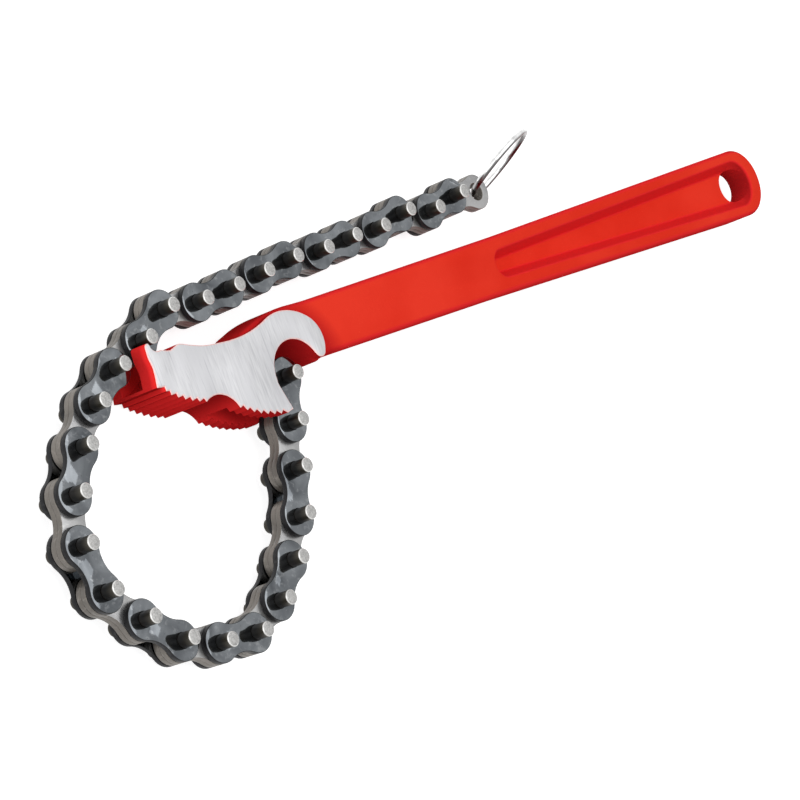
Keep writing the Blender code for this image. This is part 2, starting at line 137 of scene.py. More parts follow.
# Handle
HANDLE_LENGTH = 269.1 * MM
HANDLE_THICKNESS = 12.7 * MM
NECK_X = 45.0 * MM
NECK_WIDTH = 15.6 * MM
SHANK_X = 128.0 * MM
SHANK_WIDTH = 17.0 * MM
BUTT_WIDTH = 21.9 * MM
BUTT_CORNER_RADIUS = 10.6 * MM
HANDLE_EDGE_ROUND = 1.6 * MM
GRIP_START_X = 125.0 * MM
GRIP_START_RADIUS = 4.4 * MM
GRIP_END_RIM = 5.7 * MM
GRIP_END_RADIUS = 7.6 * MM
GRIP_DRAFT = 2.2 * MM
GRIP_EDGE_ROUND = 0.9 * MM
WEB_THICKNESS = 3.6 * MM
HANG_HOLE_DIAMETER = 10.6 * MM
HANG_HOLE_RIM = 6.2 * MM

# Ring
RING_OUTER_DIAMETER = 26.9 * MM
RING_WIRE_DIAMETER = 1.9 * MM
RING_TRIM = 0.02 * MM         # keeps the wire inside the CAD's faceted one
RING_HOLE_DIAMETER = 5.2 * MM
RING_HEADING = 28
RING_RISE = 21
RING_LEAN = -27.4

# Outline tables, given as shares of the sizes that their names give
TOP_EDGE_SHARES = (           # of the way from the notch to the hook's root, and of HEAD_BACK_HEIGHT
    (0.07, 0.88), (0.12, 0.94), (0.17, 1.00), (0.25, 0.85), (0.36, 0.67),
    (0.47, 0.59), (0.58, 0.54), (0.69, 0.54), (0.79, 0.60), (0.89, 0.72),
)
LEFT_END_SHARES = ((0.45, 1.0), (0.75, 0.0))  # of the way from the heel to the horn, and of the hollow
SHOULDER_SHARES = (           # of NECK_X, and of half of NECK_WIDTH
    (0.91, 1.01), (0.80, 1.03), (0.71, 1.02), (0.62, 0.97), (0.54, 0.89), (0.47, 0.78), (0.39, 0.64),
    (0.31, 0.40),
)

# How finely the round stretches are drawn
ARC_STEPS = 36
SMALL_ARC_STEPS = 14
CURVE_STEPS = 6               # between two points that an even curve passes
SLOT_SIDES = 120
HOLE_SIDES = 32
PIN_SIDES = 40
PLATE_END_STEPS = 28
PLATE_WAIST_STEPS = 8
ROUND_STEPS = 3
END_ROUND_STEPS = 5
GRIP_ROUND_STEPS = 5
RING_SIDES = 96
WIRE_SIDES = 20
SHARP_ANGLE = 34
MITRE_LIMIT = 0.35            # keeps an inset's corners short where an outline turns sharply

# Camera, fitted to the photograph
CAMERA_PLACE = (-0.5274, -0.0229, 0.5354)
CAMERA_RIGHT = (0.6166, -0.3528, 0.7038)
CAMERA_UP = (0.2358, 0.9357, 0.2623)
LENS = 130.6
SENSOR = 36.0
CLIP_START = 10.0 * MM

# Light and floor
WORLD_LIGHT = 0.42
LAMPS = (                     # name, place, what it points at, size, power
    ("key", (-0.05, 0.15, 1.3), (0.05, 0, 0), 1.7, 12.5),
    ("fill", (-1.0, 0.1, 0.42), (0, 0, 0), 1.0, 4.4),
)
FLOOR_GAP = 0.2 * MM
FLOOR_HALF = 3.0
FLOOR_GLOW = 0.78
FLOOR_ROUGHNESS = 0.9
FLOOR_COLOURS = ((0.54, 0.54, 0.54), (0.58, 0.58, 0.58))

# Noises: cells a metre and detail, and for some the stretch along the axes and the distortion
EVEN = (1, 1, 1)
PAINT_CLOUD = (35, 3)
PAINT_SKIN = (1200, 4)
PAINT_SPECKS = (2200, 2)
GROUND_STREAKS = (1, 6, (1900, 150, 1900), 0.6)
GROUND_BROAD = (1, 4, (260, 60, 260), 0.8)
GROUND_SCRATCHES = (1, 3, (900, 55, 900), 1.2)
BROKEN_GRAIN = (1500, 3)
PLATE_CLOUD = (90, 4, EVEN, 0.8)
PLATE_MARKS = (700, 5, EVEN, 0.3)
PLATE_BLEMISHES = (1400, 3)
SHAFT_CLOUD = (300, 3)
SHAFT_TURNING = (1, 3, (300, 300, 3500))
TIP_GRAIN = (1800, 5, EVEN, 0.8)
CHROME_HAZE = (500, 4)
FLOOR_FIBRE = (40, 3)

# How deep those that stand out in relief are
PAINT_CLOUD_DEPTH = 0.25 * MM
PAINT_SKIN_DEPTH = 0.11 * MM
GROUND_STREAK_DEPTH = 0.02 * MM
BROKEN_GRAIN_DEPTH = 0.02 * MM
PLATE_MARK_DEPTH = 0.004 * MM
PLATE_BLEMISH_DEPTH = 0.008 * MM
SHAFT_TURNING_DEPTH = 0.01 * MM
TIP_GRAIN_DEPTH = 0.05 * MM
CHROME_HAZE_DEPTH = 0.01 * MM

# Bands of a noise through which one colour gives way to the next, and by what share at most
WIDE_BAND = (0.3, 0.7)
MIDDLE_BAND = (0.35, 0.65)
PAINT_SPECK_BAND, PAINT_SPECK_SHARE = (0.66, 0.78), 0.35
GROUND_STREAK_BAND = (0.30, 0.62)
GROUND_BROAD_BAND, GROUND_BROAD_SHARE = (0.42, 0.58), 0.85
GROUND_SCRATCH_BAND, GROUND_SCRATCH_SHARE = (0.64, 0.74), 0.7
PLATE_CLOUD_BAND = (0.32, 0.68)
PLATE_MARK_BAND, PLATE_MARK_SHARE = (0.56, 0.72), 0.45
PLATE_BLEMISH_BAND, PLATE_BLEMISH_SHARE = (0.66, 0.76), 0.5

# Roughness, from the low end of a noise to its high end
PAINT_ROUGHNESS = (0.32, 0.46)
GROUND_ROUGHNESS = (0.34, 0.52)
BROKEN_ROUGHNESS = (0.36, 0.5)
SHAFT_ROUGHNESS = (0.28, 0.46)
TIP_ROUGHNESS = (0.38, 0.58)
CHROME_ROUGHNESS = (0.12, 0.28)
PLATE_ROUGHNESS_SHARES = (0.8, 1.3)  # of a plate's own roughness

# Colours of paint, pins and ring, with the paint's painted shade and the ring's painted reflection, and where
# on a piece one gives way to the next
PAINT_FACE_COLOURS = ((0.73, 0.030, 0.015), (0.80, 0.042, 0.022))
PAINT_WALL_SHADE_COLOURS = ((0.40, 0.010, 0.011), (0.80, 0.025, 0.026))  # painted shade: of the jaws' walls, and of the other walls
# painted shade round the back of the hook
PAINT_HOOK_SHADE_COLOUR = (0.50, 0.012, 0.014)
# painted shade in the far end of the grip's recess and in the hang hole
PAINT_RECESS_SHADE_COLOUR = (0.22, 0.006, 0.008)
PAINT_SPECK_COLOUR = (0.90, 0.09, 0.035)
PAINT_HOOK_SHADE_SHARE = 0.85
PAINT_RECESS_SHADE_SHARE = 0.75
HOOK_SHADE_ZONE = 6.0 * MM          # how far the painted shade reaches round the hook
JAW_WALL_BAND = (-0.9, -0.3)  # of the normal's Y, through which the jaws' walls that face -Y turn to the darker painted shade
LEVEL_BAND = (0.88, 0.995)    # of the normal's Z, through which tilted faces and walls turn to painted shade
NECK_FADE_SHARES = (0.7, 1.0)        # of NECK_X
SLOT_FADE_SHARES = (0.52, 0.62)      # of the slots' width, from the middle plane; the paint inside the slots takes the walls' painted shade
RECESS_SHADE_RIM_SHARES = (0.9, 0.7)         # of GRIP_END_RIM, from the butt, where the recess's painted shade ends
RECESS_SHADE_DEPTH_SHARES = (0.80, 0.98)     # of half of HANDLE_THICKNESS, from the middle plane, below which the recess's painted shade lies
GROUND_COLOURS = ((0.53, 0.53, 0.55), (0.67, 0.67, 0.685))
GROUND_CALM_COLOUR = (0.63, 0.63, 0.65)
GROUND_SCRATCH_COLOUR = (0.44, 0.44, 0.47)
# the pink of broken paint, painted paler as a highlight on the chamfer
BROKEN_EDGE_HIGHLIGHT_COLOURS = ((0.78, 0.46, 0.44), (0.80, 0.62, 0.60))
SHAFT_COLOURS = ((0.003, 0.003, 0.002), (0.010, 0.007, 0.005))
SHAFT_BROWN = (0.030, 0.025, 0.016)
SHAFT_WORN = (0.10, 0.09, 0.073)
SHAFT_BROWN_SHARES = (0.66, 0.88)    # of the way from the middle plane to the faces
SHAFT_WORN_SHARES = (0.89, 0.98)
TIP_COLOURS = ((0.24, 0.238, 0.232), (0.50, 0.495, 0.485))
CHROME_COLOURS = ((0.62, 0.62, 0.62), (0.88, 0.88, 0.88))
CHROME_REFLECTION_COLOUR = (0.12, 0.12, 0.12)
CHROME_REFLECTION_BAND = (-0.55, 0.1)      # of the normal's Y: a painted reflection, darker on the wire's side towards -Y

# Plates: dark and light steel and its rubbing marks, then roughness, metallic and specular level
PLATE_LOOKS = {
    "outer_plate": ((0.095, 0.103, 0.112), (0.235, 0.25, 0.265), (0.36, 0.37, 0.38), 0.065, 1.0, 0.5),
    "outer_plate_edge": ((0.008, 0.008, 0.009), (0.024, 0.024, 0.026), (0.07, 0.07, 0.07), 0.45, 0.1, 0.15),
    "inner_plate": ((0.29, 0.29, 0.295), (0.43, 0.43, 0.425), (0.52, 0.52, 0.51), 0.3, 0.8, 0.5),
    "inner_plate_edge": ((0.12, 0.108, 0.094), (0.23, 0.208, 0.185), (0.33, 0.30, 0.27), 0.45, 0.3, 0.5),
    "pin_tip_edge": ((0.60, 0.595, 0.58), (0.78, 0.775, 0.76), (0.85, 0.85, 0.84), 0.35, 0.5, 0.5),
}
BLEMISH_DARKNESS = 0.45       # of a plate's dark steel

# Sizes worked out from those above
plate_radius = (PITCH - PLATE_END_GAP) / 2
stack_thickness = 4 * PLATE_THICKNESS + 3 * FACE_GAP
slot_width = stack_thickness + 2 * SLOT_CLEARANCE
head_thickness = slot_width + 2 * CHEEK_THICKNESS
mid_z = head_thickness / 2
pin_radius = PIN_DIAMETER / 2
hole_radius = pin_radius + PIN_CLEARANCE
throat_radius = plate_radius + THROAT_CLEARANCE
hook_radius = throat_radius + HOOK_WIDTH
grip_end_x = HANDLE_LENGTH - GRIP_END_RIM - GRIP_END_RADIUS
grip_ends = {1: grip_end_x, -1: HANDLE_LENGTH + GRIP_END_RADIUS}  # front; back, where it runs out
hooked_pin = 1 + len(LOOP_HEADINGS)


def direction(degrees):
    """Unit vector in the plane of the wrench at an angle from +X."""
    return Vector((math.cos(math.radians(degrees)), math.sin(math.radians(degrees))))


def shares_of(size, shares):
    return [size * share for share in shares]


def arc(centre, radius, start, end, steps):
    """Points on a round stretch from one angle to another, both ends included."""
    turn = (end - start) / steps
    return [Vector(centre) + direction(start + turn * i) * radius for i in range(steps + 1)]


def swelling(centre, start, final, end_angle):
    """Points from a start round a centre, ever more slowly growing away from it to a final distance."""
    away = start - centre
    angle = math.degrees(math.atan2(away.y, away.x))
    points = []
    for i in range(SMALL_ARC_STEPS + 1):
        left = 1 - i / SMALL_ARC_STEPS
        reach = final + (away.length - final) * left * left
        points.append(Vector(centre) + direction(end_angle + (angle - end_angle) * left) * reach)
    return points


def circle(centre, radius, sides):
    return arc(centre, radius, 0, 360 - 360 / sides, sides - 1)


def quarter_round(steps):
    """How far in from the wall and down from the face a rounding lies, as shares of its radius."""
    turns = [math.radians(90 * i / steps) for i in range(steps + 1)]
    return [(1 - math.sin(turn), 1 - math.cos(turn)) for turn in turns]


def bulged(start, end, bulge, steps):
    """Points on the arc from start to end that stands out by bulge to the right of the way between them."""
    chord = end - start
    half = chord.length / 2
    radius = (half * half + bulge * bulge) / (2 * bulge)
    away = Vector((chord.y, -chord.x)).normalized()
    centre = (start + end) / 2 - away * (radius - bulge)
    first = math.degrees(math.atan2(start.y - centre.y, start.x - centre.x))
    sweep = 2 * math.degrees(math.asin(half / radius))
    return arc(centre, radius, first, first + sweep, steps)


def smooth(points):
    """An even curve through the points, both ends included."""
    ends = [points[0] * 2 - points[1]] + list(points) + [points[-1] * 2 - points[-2]]
    curve = []
    for before, start, end, after in zip(ends, ends[1:], ends[2:], ends[3:]):
        for i in range(CURVE_STEPS):
            t = i / CURVE_STEPS
            pull = (end - before) * 0.5
            leave = (after - start) * 0.5
            curve.append(
                start * (2 * t ** 3 - 3 * t ** 2 + 1) + pull * (t ** 3 - 2 * t ** 2 + t)
                + end * (3 * t ** 2 - 2 * t ** 3) + leave * (t ** 3 - t ** 2))
    return curve + [points[-1]]


def toothed(start, angle, length, bulge, steep_share, side):
    """A jaw's teeth from its inner end outwards; side is 1 where the way out runs anticlockwise, else -1."""
    end = start + direction(angle) * length
    line = bulged(start, end, bulge, JAW_TEETH) if side > 0 else bulged(end, start, bulge, JAW_TEETH)[::-1]
    points = []
    for tip, following in zip(line, line[1:]):
        step = following - tip
        inwards = Vector((-step.y, step.x)).normalized() * side * TOOTH_DEPTH
        points.append(tip)
        points.append(tip + step * steep_share + inwards)
    return points + [line[-1]]


def chain_places():
    """Anchor, pins 1 to 28 and the ring's hole, walked so that the hooked pin lies at its stated place."""
    headings = (ANCHOR_LINK_HEADING,) + LOOP_HEADINGS + TAIL_HEADINGS + (END_LINK_HEADING,)
    places = [Vector((0, 0))]
    for heading in headings:
        places.append(places[-1] + direction(heading) * PITCH)
    shift = Vector((HOOKED_PIN_X, HOOKED_PIN_Y)) - places[hooked_pin]
    return [place + shift for place in places], headings


def throat_and_tip(first):
    """The middles of the hook's throat and of its tip's round end, by the chain's first free pin."""
    throat = first + Vector((THROAT_OUT, -THROAT_DROP))
    return throat, throat + direction(HOOK_TIP_ANGLE) * (throat_radius + HOOK_TIP_INSET + HOOK_TIP_RADIUS)


def head_outline(hooked, first):
    """Both cheeks' outline, anticlockwise from the inner end of the left jaw."""
    throat, tip = throat_and_tip(first)
    horn = hooked + Vector((-HORN_OUT, -HORN_DROP))
    notch_radius = pin_radius + NOTCH_CLEARANCE
    left_jaw_end = Vector(LEFT_JAW_START) + direction(LEFT_JAW_ANGLE) * LEFT_JAW_LENGTH
    right_jaw_end = Vector(RIGHT_JAW_START) + direction(RIGHT_JAW_ANGLE) * RIGHT_JAW_LENGTH

    left_jaw = toothed(
        Vector(LEFT_JAW_START), LEFT_JAW_ANGLE, LEFT_JAW_LENGTH, LEFT_JAW_BULGE, LEFT_STEEP_SHARE, -1)
    right_jaw = toothed(
        Vector(RIGHT_JAW_START), RIGHT_JAW_ANGLE, RIGHT_JAW_LENGTH, RIGHT_JAW_BULGE, RIGHT_STEEP_SHARE, 1)
    relief = bulged(right_jaw[0], left_jaw[0], RELIEF_BULGE, SMALL_ARC_STEPS)[::-1]
    toe = right_jaw_end + Vector((TOE_OUT, TOE_UP))
    throat_arc = arc(throat, throat_radius, 180, THROAT_MOUTH_ANGLE, ARC_STEPS)
    jaw_side = smooth([toe, Vector((throat.x - throat_radius, throat.y - MOUTH_DROP)), throat_arc[0]])[:-1]
    tip_arc = arc(tip, HOOK_TIP_RADIUS, HOOK_TIP_START_ANGLE, HOOK_TIP_END_ANGLE, SMALL_ARC_STEPS)
    hook_arc = swelling(throat, tip_arc[-1], hook_radius, HOOK_BACK_ANGLE)[1:]
    hook_arc += arc(throat, hook_radius, HOOK_BACK_ANGLE, HOOK_ROOT_ANGLE, ARC_STEPS)[1:]
    notch_arc = arc(hooked, notch_radius, NOTCH_START_ANGLE, NOTCH_END_ANGLE, SMALL_ARC_STEPS)
    start, end = notch_arc[0].x, hook_arc[-1].x
    top = [Vector((start + (end - start) * x, HEAD_BACK_HEIGHT * y)) for x, y in TOP_EDGE_SHARES]
    top = smooth([hook_arc[-1]] + top[::-1] + [notch_arc[0]])[1:-1]
    horn_arc = arc(horn, HORN_RADIUS, HORN_INNER_ANGLE, 180, SMALL_ARC_STEPS)
    heel = left_jaw_end + Vector((-HEEL_OUT, HEEL_UP))
    left_end = [heel.lerp(horn_arc[-1], up) + Vector((LEFT_END_HOLLOW * hollow, 0))
                for up, hollow in reversed(LEFT_END_SHARES)]
    left_end = smooth([horn_arc[-1]] + left_end + [heel])[1:-1]
    return (relief[:-1] + right_jaw + jaw_side + throat_arc + tip_arc + hook_arc + top + notch_arc
            + horn_arc + left_end + [heel] + left_jaw[:0:-1])


def drawn_in(outline, share):
    """The head's outline with its left end drawn in by a share of the forging's rounding there."""
    moved = []
    for point in outline:
        near = min(1, max(0, (END_ROUND_X - point.x) / END_ROUND_FADE))
        moved.append(point + Vector((END_ROUND * share * near, 0)))
    return moved


def handle_outline(first):
    """The handle's outline, anticlockwise, with its left end hidden inside the head."""
    throat, tip = throat_and_tip(first)
    half_butt = BUTT_WIDTH / 2
    corner = Vector((HANDLE_LENGTH - BUTT_CORNER_RADIUS, half_butt - BUTT_CORNER_RADIUS))
    upper = [Vector((SHANK_X, SHANK_WIDTH / 2)), Vector((NECK_X, NECK_WIDTH / 2))]
    lower = [Vector((point.x, -point.y)) for point in reversed(upper)]
    butt = arc((corner.x, -corner.y), BUTT_CORNER_RADIUS, -90, 0, SMALL_ARC_STEPS)
    butt += arc(corner, BUTT_CORNER_RADIUS, 0, 90, SMALL_ARC_STEPS)
    shoulder = [Vector((NECK_X * x, NECK_WIDTH / 2 * y)) for x, y in SHOULDER_SHARES]
    shoulder = smooth([upper[-1]] + shoulder)[1:]
    web = arc(throat, throat_radius + HOOK_WIDTH / 2, HOOK_ROOT_ANGLE, HOOK_WEB_END_ANGLE, SMALL_ARC_STEPS)
    end = tip + direction(HOOK_WEB_TIP_HEADING) * HOOK_WEB_TIP_DROP
    web += arc(end, HOOK_TIP_RADIUS, HOOK_WEB_TIP_START_ANGLE, HOOK_WEB_TIP_END_ANGLE, SMALL_ARC_STEPS)
    return lower + butt + upper + shoulder + web


def grip_outline(narrower, end_x):
    """The recess between the handle's rims, narrower at its floor than at its edge."""
    start = (GRIP_START_X + GRIP_START_RADIUS, 0)
    points = arc(start, GRIP_START_RADIUS - narrower, 90, 270, ARC_STEPS)
    return points + arc((end_x, 0), GRIP_END_RADIUS - narrower, -90, 90, ARC_STEPS)


def plate_outline():
    """A figure-eight link plate from its first hole at the origin to its second, one pitch along +X."""
    end = plate_radius - PLATE_TRIM
    waist = end - PLATE_WAIST_DEPTH
    half = PITCH / 2
    waist_radius = (half * half + waist * waist - end * end) / (2 * PLATE_WAIST_DEPTH)
    lean = math.degrees(math.atan2(waist + waist_radius, half))
    near = arc((0, 0), end, lean, 360 - lean, PLATE_END_STEPS)
    far = arc((PITCH, 0), end, lean - 180, 180 - lean, PLATE_END_STEPS)
    above = arc((half, waist + waist_radius), waist_radius, -lean, lean - 180, PLATE_WAIST_STEPS)[1:-1]
    below = [Vector((PITCH - point.x, -point.y)) for point in above]
    return near + below + far + above


def inset(outline, by):
    """An anticlockwise outline moved inwards by a distance, corner by corner."""
    moved = []
    for before, here, after in zip(outline[-1:] + outline[:-1], outline, outline[1:] + outline[:1]):
        along, onward = (here - before).normalized(), (after - here).normalized()
        first, second = Vector((-along.y, along.x)), Vector((-onward.y, onward.x))
        lean = (first + second).normalized()
        moved.append(here + lean * by / max(lean.dot(first), MITRE_LIMIT))
    return moved


def rim(bm, outline, z):
    return [bm.verts.new((point.x, point.y, z)) for point in outline]


def walls(bm, low, high, finish=0):
    """Faces between two rims with as many points."""
    for a, b, c, d in zip(low, low[1:] + low[:1], high[1:] + high[:1], high):
        bm.faces.new((a, b, c, d)).material_index = finish


def fill(bm, rims, finish=0):
    """A flat face inside the first rim, leaving out the insides of the others."""
    pairs = [pair for ring in rims for pair in zip(ring, ring[1:] + ring[:1])]
    edges = [bm.edges.get(pair) or bm.edges.new(pair) for pair in pairs]
    made = bmesh.ops.triangle_fill(bm, edges=edges, use_beauty=True)
    for part in made["geom"]:
        if isinstance(part, bmesh.types.BMFace):
            part.material_index = finish


def stack(bm, layers, finishes=None):
    """Walls through a list of (outline, height) rims, open at both ends; gives the first and last rim."""
    rims = [rim(bm, outline, z) for outline, z in layers]
    for place, (low, high) in enumerate(zip(rims, rims[1:])):
        walls(bm, low, high, finishes[place] if finishes else 0)
    return rims[0], rims[-1]


def rounded(outline, low_z, high_z, by, steps, outwards=-1):
    """Rims of a body whose two edges are rounded by a radius; outwards is 1 for a hole's wall."""
    layers = [(inset(outline, -outwards * by * away), by * down) for away, down in quarter_round(steps)]
    low = [(points, low_z + z) for points, z in layers]
    return low + [(points, high_z - z) for points, z in reversed(layers)]


def solid(bm, outline, low_z, high_z, by, steps, holes=(), finishes=(0, 0, 0)):
    """A body between two heights with rounded edges; finishes are those of the ends, roundings and walls."""
    face, edge, wall = finishes
    kinds = [edge] * steps + [wall] + [edge] * steps
    sides = [stack(bm, rounded(outline, low_z, high_z, by, steps), kinds)]
    sides += [stack(bm, rounded(hole, low_z, high_z, by, steps, outwards=1), kinds) for hole in holes]
    for rims in zip(*sides):
        fill(bm, rims, face)


def slab(bm, layers, kinds=None, face=0):
    """A closed body through a list of (outline, height) rims."""
    for rims in zip(stack(bm, layers, kinds)):
        fill(bm, rims, face)


def block(bm, outline, low_z, high_z):
    """A straight body between two heights."""
    slab(bm, [(outline, low_z), (outline, high_z)])


def mesh_from(name, build, finishes=()):
    """A smooth-shaded mesh made by build in a fresh bmesh, sharp where its faces meet at an angle."""
    bm = bmesh.new()
    build(bm)
    bmesh.ops.recalc_face_normals(bm, faces=bm.faces)
    mesh = bpy.data.meshes.new(name)
    bm.to_mesh(mesh)
    bm.free()
    mesh.shade_smooth()
    mesh.set_sharp_from_angle(angle=math.radians(SHARP_ANGLE))
    for finish in finishes:
        mesh.materials.append(finish)
    return mesh


def add(name, mesh):
    thing = bpy.data.objects.new(name, mesh)
    bpy.context.collection.objects.link(thing)
    return thing


def cut(thing, build, finish, operation="DIFFERENCE"):
    """Takes away a body made by build, or joins it when the operation is UNION."""
    tool = add("tool", mesh_from("tool", build, (finish,)))
    change = thing.modifiers.new("cut", "BOOLEAN")
    change.operation = operation
    change.solver = "EXACT"
    change.material_mode = "TRANSFER"
    change.object = tool
    shaped = bpy.data.meshes.new_from_object(
        thing.evaluated_get(bpy.context.evaluated_depsgraph_get()))
    thing.modifiers.remove(change)
    thing.data = shaped
    bpy.data.objects.remove(tool)


class Shader:
    """A material's nodes, joined by short calls."""

    def __init__(self, name, metallic=0.0, **extra):
        self.material = bpy.data.materials.new(name)
        self.material.use_nodes = True
        self.tree = self.material.node_tree
        self.surface = self.tree.nodes["Principled BSDF"]
        self.surface.inputs["Metallic"].default_value = metallic
        for socket, value in extra.items():
            self.surface.inputs[socket.replace("_", " ")].default_value = value

    def node(self, kind, **values):
        made = self.tree.nodes.new(kind)
        for key, value in values.items():
            if hasattr(made, key):
                setattr(made, key, value)
            else:
                made.inputs[key.replace("_", " ")].default_value = value
        return made

    def join(self, out, into):
        self.tree.links.new(out, into)

    def work(self, operation, *values):
        """A sum of nodes' outputs and plain numbers."""
        node = self.node("ShaderNodeMath", operation=operation)
        for socket, value in zip(node.inputs, values):
            if isinstance(value, float):
                socket.default_value = value
            else:
                self.join(value, socket)
        return node.outputs[0]

    def place(self, kind="Object"):
        """A point's place in the piece's own space, or its Normal there."""
        return self.node("ShaderNodeTexCoord").outputs[kind]

    def part(self, axis, kind="Object"):
        """One axis of a point's place, or of its Normal."""
        split = self.node("ShaderNodeSeparateXYZ")
        self.join(self.place(kind), split.inputs[0])
        return split.outputs[axis]

    def off_middle(self):
        """How far a point of the piece is above or below the wrench's middle plane."""
        return self.work("ABSOLUTE", self.work("SUBTRACT", self.part("Z"), mid_z))

    def away_from(self, spot):
        """How far a point of the piece is from an upright line through a spot."""
        level = self.node("ShaderNodeVectorMath", operation="MULTIPLY")
        level.inputs[1].default_value = (1, 1, 0)
        reach = self.node("ShaderNodeVectorMath", operation="DISTANCE")
        reach.inputs[1].default_value = (spot.x, spot.y, 0)
        self.join(self.place(), level.inputs[0])
        self.join(level.outputs[0], reach.inputs[0])
        return reach.outputs["Value"]

    def grain(self, scale, detail, stretch=EVEN, distortion=0.0):
        """Noise in the piece's own space, with scale in cells a metre, stretched along the axes."""
        mapping = self.node("ShaderNodeMapping")
        mapping.inputs["Scale"].default_value = stretch
        noise = self.node("ShaderNodeTexNoise", Scale=scale, Detail=detail, Distortion=distortion)
        self.join(self.place(), mapping.inputs["Vector"])
        self.join(mapping.outputs["Vector"], noise.inputs["Vector"])
        return noise.outputs["Fac"]

    def ramp(self, value, low, high, low_out=0, high_out=1):
        """A number that goes from low_out to high_out as value goes from low to high."""
        node = self.node("ShaderNodeMapRange")
        for key, number in (("From Min", low), ("From Max", high), ("To Min", low_out), ("To Max", high_out)):
            node.inputs[key].default_value = number
        self.join(value, node.inputs["Value"])
        return node.outputs["Result"]

    def blend(self, share, first, second):
        """A colour between two, each a colour or a node's output."""
        node = self.node("ShaderNodeMix", data_type="RGBA")
        self.join(share, node.inputs[0])
        for place, colour in ((6, first), (7, second)):
            if isinstance(colour, tuple):
                node.inputs[place].default_value = (*colour, 1)
            else:
                self.join(colour, node.inputs[place])
        return node.outputs[2]

    def fade(self, value, band, first, second, share=1):
        """A colour that goes from first to second, or by a share of the way, as value goes through a band."""
        return self.blend(self.ramp(value, *band, 0, share), first, second)

    def colour(self, out):
        self.join(out, self.surface.inputs["Base Color"])

    def roughness(self, noise, low, high):
        """Roughness from low to high as a noise goes through its wide band."""
        self.join(self.ramp(noise, *WIDE_BAND, low, high), self.surface.inputs["Roughness"])

    def bump(self, heights, strength):
        """Bumps from a list of (height, depth in metres), one over the other."""
        normal = None
        for height, depth in heights:
            node = self.node("ShaderNodeBump", Strength=strength, Distance=depth)
            self.join(height, node.inputs["Height"])
            if normal:
                self.join(normal, node.inputs["Normal"])
            normal = node.outputs["Normal"]
        self.join(normal, self.surface.inputs["Normal"])


def red_paint(throat):
    """Thick red enamel on a forged skin, with painted shade: darker and more crimson on the walls and in the
    slots, round the back of the hook and at the grip recess's far end.
    """
    shade = Shader("red_paint", Specular_IOR_Level=0.0)
    cloud = shade.grain(*PAINT_CLOUD)
    skin = shade.grain(*PAINT_SKIN)
    specks = shade.grain(*PAINT_SPECKS)
    along = shade.part("X")
    past_neck = shade.ramp(along, *shares_of(NECK_X, NECK_FADE_SHARES))

    # painted shade: walls and slots take darker, more crimson copies of the red, darkest on the jaws' walls
    # that face -Y
    off_jaws = shade.work("MAXIMUM", shade.ramp(shade.part("Y", "Normal"), *JAW_WALL_BAND), past_neck)
    wall = shade.blend(off_jaws, *PAINT_WALL_SHADE_COLOURS)
    face = shade.fade(cloud, MIDDLE_BAND, *PAINT_FACE_COLOURS)
    off_slots = shade.ramp(shade.off_middle(), *shares_of(slot_width, SLOT_FADE_SHARES))
    level = shade.ramp(shade.work("ABSOLUTE", shade.part("Z", "Normal")), *LEVEL_BAND)
    on_face = shade.work("MINIMUM", shade.work("MAXIMUM", off_slots, past_neck), level)
    base = shade.blend(on_face, wall, face)

    # painted shade round the back of the hook
    reach = shade.away_from(throat)
    hook_shade = shade.ramp(reach, hook_radius, hook_radius + HOOK_SHADE_ZONE, PAINT_HOOK_SHADE_SHARE, 0)
    base = shade.blend(hook_shade, base, PAINT_HOOK_SHADE_COLOUR)

    # painted shade in the far end of the grip's recess and in the hang hole
    past_end = shade.ramp(along, grip_end_x, HANDLE_LENGTH - GRIP_END_RIM, 0, PAINT_RECESS_SHADE_SHARE)
    rim_start, rim_end = shares_of(GRIP_END_RIM, RECESS_SHADE_RIM_SHARES)
    inside_rim = shade.ramp(along, HANDLE_LENGTH - rim_start, HANDLE_LENGTH - rim_end, 1, 0)
    below_face = shade.ramp(shade.off_middle(), *shares_of(HANDLE_THICKNESS / 2, RECESS_SHADE_DEPTH_SHARES), 1, 0)
    recess_shade = shade.work("MINIMUM", shade.work("MINIMUM", past_end, inside_rim), below_face)
    base = shade.blend(recess_shade, base, PAINT_RECESS_SHADE_COLOUR)

    shade.colour(shade.fade(specks, PAINT_SPECK_BAND, base, PAINT_SPECK_COLOUR, PAINT_SPECK_SHARE))
    shade.roughness(skin, *PAINT_ROUGHNESS)
    shade.bump([(cloud, PAINT_CLOUD_DEPTH), (skin, PAINT_SKIN_DEPTH)], strength=0.6)
    return shade.material


def ground_steel():
    """The head's faces, ground across with a coarse wheel."""
    shade = Shader("ground_steel", metallic=0.2)
    streaks = shade.grain(*GROUND_STREAKS)
    broad = shade.grain(*GROUND_BROAD)
    scratches = shade.grain(*GROUND_SCRATCHES)
    tone = shade.fade(streaks, GROUND_STREAK_BAND, *GROUND_COLOURS)
    calm = shade.fade(broad, GROUND_BROAD_BAND, tone, GROUND_CALM_COLOUR, GROUND_BROAD_SHARE)
    shade.colour(shade.fade(
        scratches, GROUND_SCRATCH_BAND, calm, GROUND_SCRATCH_COLOUR, GROUND_SCRATCH_SHARE))
    shade.roughness(streaks, *GROUND_ROUGHNESS)
    shade.bump([(streaks, GROUND_STREAK_DEPTH)], strength=0.5)
    return shade.material


def broken_edge_highlight():
    """The thin edge where the grinding broke the paint, painted paler as a highlight."""
    shade = Shader("broken_edge_highlight", metallic=0.3)
    grain = shade.grain(*BROKEN_GRAIN)
    shade.colour(shade.fade(grain, MIDDLE_BAND, *BROKEN_EDGE_HIGHLIGHT_COLOURS))
    shade.roughness(grain, *BROKEN_ROUGHNESS)
    shade.bump([(grain, BROKEN_GRAIN_DEPTH)], strength=0.4)
    return shade.material


